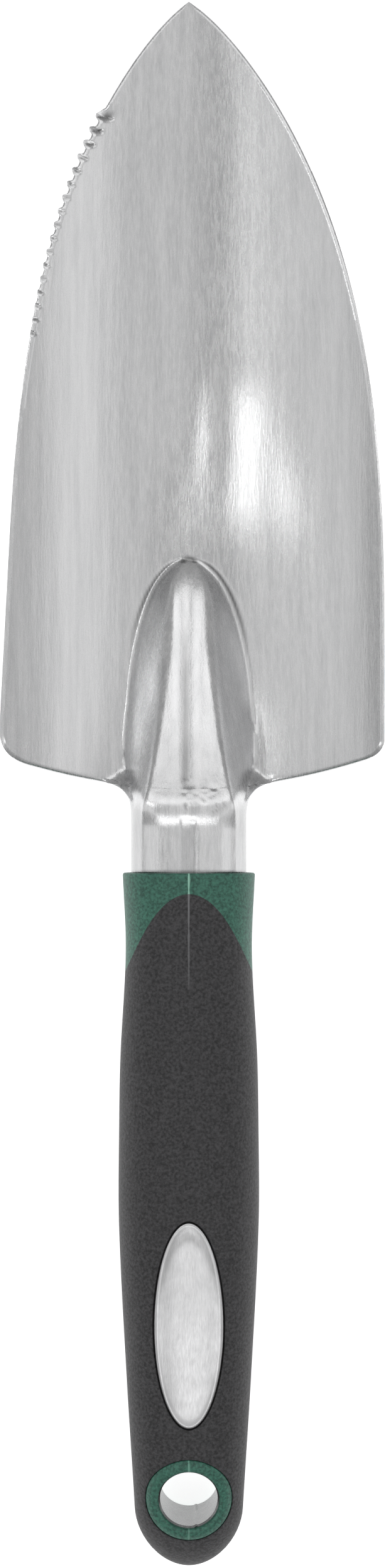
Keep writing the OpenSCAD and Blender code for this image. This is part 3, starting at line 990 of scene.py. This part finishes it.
def painted_shade_and_marks(x, s):
    """How dark the metal is painted, from 0 to 1: bell curves of painted shade along the crease and
    the nose; the groove and the shoulder, darker for their finish and for painted shade; a step for
    the ground strip and a step of painted shadow at the collar's joint; painted shade in the depths
    of the pits and teeth and on the neck's sides, and a little duller tone all over the sheet."""
    w = rib_width(s)
    inside = (s > rib_station - 1) & (np.abs(x) < 16)
    # Painted shade in the crease round the rib's foot and round its nose.
    foot = np.exp(-(((np.abs(x) - w - 0.1) / 0.55) ** 2))
    foot = foot * ease(117, 119, s) * (1 - ease(124, 144, s))
    nose = np.exp(-((np.hypot(x / 1.2, s - rib_station - 1.2) - 1.1) / 0.6) ** 2)
    nose = nose * (s < rib_station + 1.2)
    # The groove and the shoulder: darker for their filed and cast finish, and painted shade as well.
    groove = 0.6 * np.exp(-(((x + 0.7) / 0.8) ** 2)) * ease(126, 144, s) * (1 - ease(163, 168, s))
    shoulder = ease(150, 162, s) * (1 - ease(167, 170, s)) * (1 - ease(5, 9, np.abs(x)))
    groove = groove + 0.22 * shoulder
    strip = 0.2 * (1 - ease(1.2, 2.0, np.abs(x + 0.05))) * ease(171.5, 173, s)
    # Painted shadow in the joint at the collar, where the neck goes into the core.
    strip = strip + ease(collar_station - 0.6, collar_station - 0.1, s)
    # Painted shade in the depths of the pits.
    pit_shade = -2.2 * pitting(x, s)
    marks = np.maximum(np.maximum(foot, nose), np.maximum(groove + strip, pit_shade))
    # Painted shade in the roots of the teeth.
    teeth = np.clip(1.7 * scallop(x, s), 0, 1) * (x < 0)
    ridge_half = along(facet_half_widths, s)
    filed = (1 - ease(ridge_half, ridge_half + 1.5, np.abs(x))) * ease(118, 121, s)
    dullness_and_side_shade = sheet_dullness * (1 - np.where(s > rib_station, filed, 0))
    # Painted shade on the neck's rounded sides, where they turn away from the light.
    dullness_and_side_shade = dullness_and_side_shade + neck_side_shade * ease(9.0, 10.4, np.abs(x)) * ease(168, 171, s)
    return np.clip(np.maximum(np.where(inside, marks, 0), np.maximum(teeth, dullness_and_side_shade)), 0, 1)


across, forward, height = read_points(casting)
station = tip_y - forward
facing_up = height > middle(across, station)
darkness = np.where(facing_up & (station < collar_station + 1), painted_shade_and_marks(across, station), 0)
# Painted shade on the wall of the eye and the end of the tang, deep in the hang hole.
darkness = np.where(station > hole_station - 12, eye_wall_shade, darkness)
keep_values(casting, "painted_shade_and_marks", darkness)
print(f"{(darkness > 0.5).sum()} dark points in the hollows")

# %% [markdown]
# ## The thumb plate
# The oval plate is pressed from aluminium sheet: a slightly dished face inside a bright bevelled
# rim. Rings of points shrink from the rim to the middle, and each ring has its own depth under
# the skin, which gives the bevel, the dish and the flat underside. A darker crescent of painted
# shade just inside the rim, at the end nearer the blade, is colour alone, kept as a number for each point.

# %% Thumb plate
plate_turn = np.linspace(0, 2 * math.pi, 121)[:-1]
plate_t, face_inset, face_depth, dish_depth = 1.1, 0.95, 0.14, 0.55
plate_profile = [(0.0, plate_t), (0.0, 0.5), (-0.05, 0.34), (-0.2, 0.14), (-0.42, 0.04), (-0.68, 0.04),
                 (-face_inset, face_depth)]
plate_rings = [oval_ring(plate_turn, grow, depth) for grow, depth in plate_profile]
for share in np.linspace(0, 1, 18)[1:-1]:
    dish = face_depth + dish_depth * (1 - (1 - share) ** 3)
    plate_rings.append(oval_ring(plate_turn, -face_inset, dish, 1 - share))
under_rings = [oval_ring(plate_turn, 0, plate_t, scale) for scale in (0.05, 0.4, 0.7, 1)]
plate_grid = np.stack(plate_rings)
under_grid = np.stack(under_rings)
plate = make_piece("thumb_plate", [(plate_grid, True), (collapse(plate_rings[-1]), True),
                                   (under_grid, True), (collapse(under_rings[0]), True)], 30)
across, forward = read_points(plate)[:2]
across = across / (plate_width / 2)
forward = (plate_station - tip_y + forward) / (plate_length / 2)
size = np.hypot(across, forward)
# A crescent of painted shade inside the rim, at the end nearer the blade.
keep_values(plate, "painted_shade_and_marks", 0.5 * np.exp(-(((size - 0.86) / 0.055) ** 2)) * ease(0.1, 0.8, forward))

# %% [markdown]
# ## Effects that several finishes share
# Patchy colour, grain drawn out along the tool and fine grit appear on metal, plastic and rubber
# alike, at different sizes. Each is a node group, built once and placed in each material with its
# own values. Image textures would need unwrapping, and noise on Object coordinates does not.

# %% Node groups
def srgb(red, green, blue):
    """Linear colour from 8-bit display values."""
    c = np.array([red, green, blue]) / 255
    linear = np.where(c <= 0.04045, c / 12.92, ((c + 0.055) / 1.055) ** 2.4)
    return (*map(float, linear), 1.0)


def new_group(name, inputs, outputs):
    """A shader node group with named sockets, and its input and output nodes."""
    group = bpy.data.node_groups.new(name, "ShaderNodeTree")
    for socket, kind in inputs:
        group.interface.new_socket(socket, in_out="INPUT", socket_type="NodeSocket" + kind)
    for socket, kind in outputs:
        group.interface.new_socket(socket, in_out="OUTPUT", socket_type="NodeSocket" + kind)
    return group, group.nodes.new("NodeGroupInput"), group.nodes.new("NodeGroupOutput")


def add(tree, kind, links=(), **settings):
    """A node with settings, and links given as (input name or number, output socket or value)."""
    node = tree.nodes.new("ShaderNode" + kind)
    for key, value in settings.items():
        setattr(node, key, value)
    for where, source in links:
        if isinstance(source, bpy.types.NodeSocket):
            tree.links.new(source, node.inputs[where])
        else:
            node.inputs[where].default_value = source
    return node


def patchy_group():
    """Two colours mixed by soft noise of a given size in metres."""
    inputs = [("Place", "Vector"), ("Light", "Color"), ("Dark", "Color"), ("Size", "Float")]
    group, given, result = new_group("patchy colour", inputs, [("Colour", "Color"), ("Mask", "Float")])
    scale = add(group, "Math", [(0, 1.0), (1, given.outputs["Size"])], operation="DIVIDE")
    noise = add(group, "TexNoise", [("Vector", given.outputs["Place"]), ("Scale", scale.outputs[0]),
                                    ("Detail", 5.0), ("Roughness", 0.6)])
    mask = add(group, "MapRange", [("Value", noise.outputs[0]), ("From Min", 0.36), ("From Max", 0.64)])
    # The colour sockets of a Mix node, 6 and 7, come after those of its other data types.
    both = [(6, given.outputs["Light"]), (7, given.outputs["Dark"])]
    colour = add(group, "Mix", [(0, mask.outputs[0])] + both, data_type="RGBA")
    group.links.new(colour.outputs[2], result.inputs["Colour"])
    group.links.new(mask.outputs[0], result.inputs["Mask"])
    return group


def grain_group():
    """Lines drawn out along the tool: noise whose lengthwise coordinate is shortened."""
    inputs = [("Place", "Vector"), ("Size", "Float"), ("Stretch", "Float")]
    group, given, result = new_group("drawn grain", inputs, [("Lines", "Float")])
    shrink = add(group, "Math", [(0, 1.0), (1, given.outputs["Stretch"])], operation="DIVIDE")
    factors = add(group, "CombineXYZ", [(0, 1.0), (1, shrink.outputs[0]), (2, 1.0)])
    drawn = add(group, "VectorMath", [(0, given.outputs["Place"]), (1, factors.outputs[0])],
                operation="MULTIPLY")
    scale = add(group, "Math", [(0, 1.0), (1, given.outputs["Size"])], operation="DIVIDE")
    noise = add(group, "TexNoise", [("Vector", drawn.outputs[0]), ("Scale", scale.outputs[0]),
                                    ("Detail", 3.0), ("Roughness", 0.55)])
    lines = add(group, "MapRange", [("Value", noise.outputs[0]), ("From Min", 0.32), ("From Max", 0.68)])
    group.links.new(lines.outputs[0], result.inputs["Lines"])
    return group


def grit_group():
    """Fine round-grained height, as left by a spark-eroded mould or by blasting."""
    inputs = [("Place", "Vector"), ("Size", "Float")]
    group, given, result = new_group("fine grit", inputs, [("Grit", "Float")])
    scale = add(group, "Math", [(0, 1.0), (1, given.outputs["Size"])], operation="DIVIDE")
    noise = add(group, "TexNoise", [("Vector", given.outputs["Place"]), ("Scale", scale.outputs[0]),
                                    ("Detail", 2.0), ("Roughness", 0.7)])
    group.links.new(noise.outputs[0], result.inputs["Grit"])
    return group


def seam_group():
    """A broken line along the middle of the tool: 1 where x is within a wandering half width and
    y lies between two limits, fading at both ends."""
    inputs = [("Place", "Vector"), ("From", "Float"), ("To", "Float")]
    group, given, result = new_group("seam line", inputs, [("Mask", "Float")])
    axes = add(group, "SeparateXYZ", [(0, given.outputs["Place"])])
    wander = add(group, "TexNoise", [("Vector", given.outputs["Place"]), ("Scale", 420.0), ("Detail", 2.0)])
    half_width = add(group, "MapRange", [("Value", wander.outputs[0]), ("From Min", 0.3), ("From Max", 0.7),
                                         ("To Min", 0.0001), ("To Max", 0.0004)])
    off = add(group, "Math", [(0, axes.outputs[0])], operation="ABSOLUTE")
    near = add(group, "MapRange", [("Value", off.outputs[0]), ("From Min", half_width.outputs[0]),
                                   ("From Max", 0.00008), ("To Min", 0.0), ("To Max", 1.0)])
    start = add(group, "MapRange", [("Value", axes.outputs[1]), ("From Min", given.outputs["From"]),
                                    ("From Max", given.outputs["To"])])
    fade = add(group, "Math", [(0, start.outputs[0]), (1, 0.5)], operation="POWER")
    before = add(group, "Math", [(0, axes.outputs[1]), (1, given.outputs["To"])], operation="LESS_THAN")
    lengthwise = add(group, "Math", [(0, fade.outputs[0]), (1, before.outputs[0])], operation="MULTIPLY")
    mask = add(group, "Math", [(0, near.outputs[0]), (1, lengthwise.outputs[0])], operation="MULTIPLY")
    group.links.new(mask.outputs[0], result.inputs["Mask"])
    return group


patchy, grain, grit, seam_line = patchy_group(), grain_group(), grit_group(), seam_group()
print("groups:", patchy.name, grain.name, grit.name, seam_line.name)


# %% A material with shared effects
def new_finish(name, roughness, metallic=0.0):
    """A material with its shader, its tree and the Object coordinates."""
    material = bpy.data.materials.new(name)
    material.use_nodes = True
    tree = material.node_tree
    shader = tree.nodes["Principled BSDF"]
    shader.inputs["Roughness"].default_value = roughness
    shader.inputs["Metallic"].default_value = metallic
    return material, tree, shader, add(tree, "TexCoord").outputs["Object"]


def place_group(tree, group, values):
    """A copy of a node group in a material, with values or links on its named inputs."""
    node = tree.nodes.new("ShaderNodeGroup")
    node.node_tree = group
    for socket, source in values.items():
        if isinstance(source, bpy.types.NodeSocket):
            tree.links.new(source, node.inputs[socket])
        else:
            node.inputs[socket].default_value = source
    return node


def bump(tree, shader, height, distance):
    """Feeds a height into the shader's normal."""
    node = add(tree, "Bump", [("Height", height), ("Distance", distance), ("Strength", 1.0)])
    tree.links.new(node.outputs[0], shader.inputs["Normal"])
    return node


def spread_value(tree, value, low, high):
    """A 0 to 1 value spread over a range."""
    return add(tree, "MapRange", [("Value", value), ("To Min", low), ("To Max", high)]).outputs[0]


def sum_of(tree, first, second):
    return add(tree, "Math", [(0, first), (1, second)], operation="ADD").outputs[0]


# %% [markdown]
# ## Cast and filed aluminium
# The casting was tumbled, so its scoop is satin with a faint lengthwise grain. Real satin metal
# varies in both colour and gloss, so on the casting the same grain helps to drive both. The
# thumb plate is brushed lengthwise, with softly patchy colour. The number kept at each point
# mixes both metals towards dark grey: painted shade, and on the casting also its filed marks.

# %% Aluminium finishes
def darkened(tree, colour):
    """The colour, mixed most of the way to dark grey where the piece's "painted_shade_and_marks" value is
    1: painted shade, and the casting's filed and ground marks.
    """
    shade_and_marks_value = add(tree, "Attribute", attribute_name="painted_shade_and_marks").outputs["Fac"]
    shade = spread_value(tree, shade_and_marks_value, 0.0, 0.86)
    return add(tree, "Mix", [(0, shade), (6, colour), (7, (0.1, 0.1, 0.1, 1))], data_type="RGBA").outputs[2]


def cast_metal():
    material, tree, shader, spot = new_finish("satin cast aluminium", 0.4, 1.0)
    long_lines = place_group(tree, grain, {"Place": spot, "Size": 0.0016, "Stretch": 22.0})
    lines = place_group(tree, grain, {"Place": spot, "Size": 0.0004, "Stretch": 8.0})
    fine = place_group(tree, grit, {"Place": spot, "Size": 0.0003})
    both = sum_of(tree, long_lines.outputs[0], lines.outputs[0])
    streaked = sum_of(tree, both, fine.outputs[0])
    tone = add(tree, "MapRange", [("Value", streaked), ("From Min", 0.4), ("From Max", 2.2)])
    ramp = add(tree, "ValToRGB", [(0, tone.outputs[0])])
    ramp.color_ramp.elements[0].color = (0.6, 0.603, 0.61, 1)
    ramp.color_ramp.elements[1].color = (0.77, 0.77, 0.775, 1)
    tree.links.new(darkened(tree, ramp.outputs[0]), shader.inputs["Base Color"])
    tree.links.new(spread_value(tree, lines.outputs[0], 0.23, 0.3), shader.inputs["Roughness"])
    bump(tree, shader, sum_of(tree, lines.outputs[0], fine.outputs[0]), 0.00001)
    return material


def brushed_plate():
    material, tree, shader, spot = new_finish("brushed aluminium", 0.34, 1.0)
    colour = place_group(tree, patchy, {"Place": spot, "Light": (0.61, 0.61, 0.615, 1),
                                        "Dark": (0.55, 0.55, 0.555, 1), "Size": 0.003})
    lines = place_group(tree, grain, {"Place": spot, "Size": 0.0003, "Stretch": 20.0})
    tree.links.new(darkened(tree, colour.outputs["Colour"]), shader.inputs["Base Color"])
    tree.links.new(spread_value(tree, lines.outputs[0], 0.34, 0.42), shader.inputs["Roughness"])
    bump(tree, shader, lines.outputs[0], 0.000006)
    return material


# %% [markdown]
# ## Plastic, rubber and bonding pad
# The green core and the black rubber come out of spark-eroded moulds, which leave a fine matt
# grit. Rubber is duller and lets the grit show more.

# %% Plastic and rubber finishes
def moulded(name, light, dark, roughness, grit_size, grit_height, flash=None):
    """Matt moulded plastic or rubber. Flash is (colour, first station, last station) of the line
    that the two halves of the mould leave along the middle, scraped paler than the rest."""
    material, tree, shader, spot = new_finish(name, roughness)
    base = place_group(tree, patchy, {"Place": spot, "Light": light, "Dark": dark, "Size": grit_size})
    colour = base.outputs["Colour"]
    if flash:
        pale, first, last = flash
        line = place_group(tree, seam_line, {"Place": spot, "From": (tip_y - last) * MM,
                                             "To": (tip_y - first) * MM})
        scraped = add(tree, "Mix", [(0, line.outputs["Mask"]), (6, colour), (7, pale)], data_type="RGBA")
        colour = scraped.outputs[2]
    fine = place_group(tree, grit, {"Place": spot, "Size": grit_size})
    tree.links.new(colour, shader.inputs["Base Color"])
    bump(tree, shader, fine.outputs[0], grit_height)
    return material


def finish(piece, material, slot, *nodes):
    """Gives a piece its material, lets it ride with the tool, and hides what it stands for. The slot is not
    used.
    """
    piece.data.materials.clear()
    piece.data.materials.append(material)
    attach(piece, "root")
    for node in nodes:
        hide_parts(node)


finish(casting, cast_metal(), "cast_metal", "blade_casting")
green_flash = (srgb(150, 200, 180), collar_station, hole_station + 20)
black_flash = (srgb(120, 120, 122), grip_station - 1, grip_station + 20)
green_plastic = moulded("green moulded plastic", srgb(60, 116, 98), srgb(28, 72, 60), 0.5, 0.0006,
                        0.00006, green_flash)
black_rubber = moulded("black rubber", srgb(66, 65, 67), srgb(22, 22, 23), 0.6, 0.0006, 0.0001,
                       black_flash)
finish(core, green_plastic, "core_plastic", "handle_core")
finish(grip, black_rubber, "grip_rubber", "grip")
finish(plate, brushed_plate(), "plate_metal", "thumb_inlay")
pad = frame["nodes"]["inlay_adhesive"]
pad.data.materials.clear()
pad_finish = moulded("bonding pad", srgb(228, 226, 218), srgb(210, 208, 200), 0.7, 0.0004, 0.00002)
pad.data.materials.append(pad_finish)
print("finishes:", [piece.data.materials[0].name for piece in (casting, core, grip, plate, pad)])

# %% [markdown]
# ## Floor, light and camera
# The tool lies on a plain pale floor and is seen from straight above. The floor gives off some
# light of its own, so that it stays pale. Satin metal shows whatever surrounds it, so the light
# comes from five large soft panels, at the tip, the handle, the left and twice at the right,
# with dimmer air between them. A sixth, small and strong, gives the streak on the blade.

# %% Floor
floor_half = 3.0
floor_mesh = bpy.data.meshes.new("floor")
corners = [(-floor_half, -floor_half, 0), (floor_half, -floor_half, 0), (floor_half, floor_half, 0),
           (-floor_half, floor_half, 0)]
floor_mesh.from_pydata(corners, [], [(0, 1, 2, 3)])
floor = bpy.data.objects.new("floor", floor_mesh)
bpy.context.scene.collection.objects.link(floor)
floor_material, _, floor_shader, _ = new_finish("pale floor", 0.9)
floor_shader.inputs["Base Color"].default_value = (0.8, 0.8, 0.8, 1)
floor_shader.inputs["Emission Color"].default_value = (1, 1, 1, 1)
floor_shader.inputs["Emission Strength"].default_value = 0.8
floor_mesh.materials.append(floor_material)
print(f"floor {2 * floor_half:.0f} m wide")


# %% Light
def panel(name, place_m, size, radiance):
    """A soft square-cornered panel that faces the tool. Its power is pi x area x radiance."""
    light = bpy.data.lights.new(name, "AREA")
    light.shape = "RECTANGLE"
    light.size, light.size_y = size
    light.energy = math.pi * size[0] * size[1] * radiance
    lamp = bpy.data.objects.new(name, light)
    lamp.location = place_m
    direction = -np.array(place_m)
    lamp.rotation_euler = (math.atan2(np.hypot(*direction[:2]), -direction[2]), 0,
                           math.atan2(direction[1], direction[0]) - math.pi / 2)
    bpy.context.scene.collection.objects.link(lamp)
    return lamp


panels = [panel("tip panel", (0.0, 1.0, 1.4), (1.4, 0.8), 0.93),
          panel("handle panel", (-0.1, -0.85, 1.4), (0.9, 0.5), 1.9),
          panel("left panel", (-1.5, 0.0, 1.25), (1.5, 2.4), 0.43),
          panel("right panel", (0.78, -0.1, 1.55), (1.7, 2.4), 0.34),
          panel("side panel", (1.8, 0.0, 0.85), (0.8, 2.4), 0.32),
          panel("streak panel", (-0.64, 0.4, 1.42), (0.16, 0.26), 5.5)]
print(f"{len(panels)} panels")
world = bpy.data.worlds.new("studio air")
world.use_nodes = True
air = world.node_tree.nodes["Background"]
air.inputs["Color"].default_value = (1, 1, 1, 1)
air.inputs["Strength"].default_value = 0.4
bpy.context.scene.world = world

# %% Camera
distance = 1.2
sensor = 36.0
middle_x = (cad_bounds[0][0] + cad_bounds[1][0]) / 2
aim_offset = 0.0001
margin = 1.0016
picture_length = margin * tool_length * MM
camera_data = bpy.data.cameras.new("camera")
camera_data.sensor_width = sensor
camera_data.lens = sensor * distance / picture_length
camera = bpy.data.objects.new("camera", camera_data)
reference_height = 0.009
camera.location = (middle_x + aim_offset, 0, reference_height + distance)
bpy.context.scene.collection.objects.link(camera)
bpy.context.scene.camera = camera
bpy.context.scene.view_settings.view_transform = "Standard"
print(f"lens {camera_data.lens:.1f} mm")
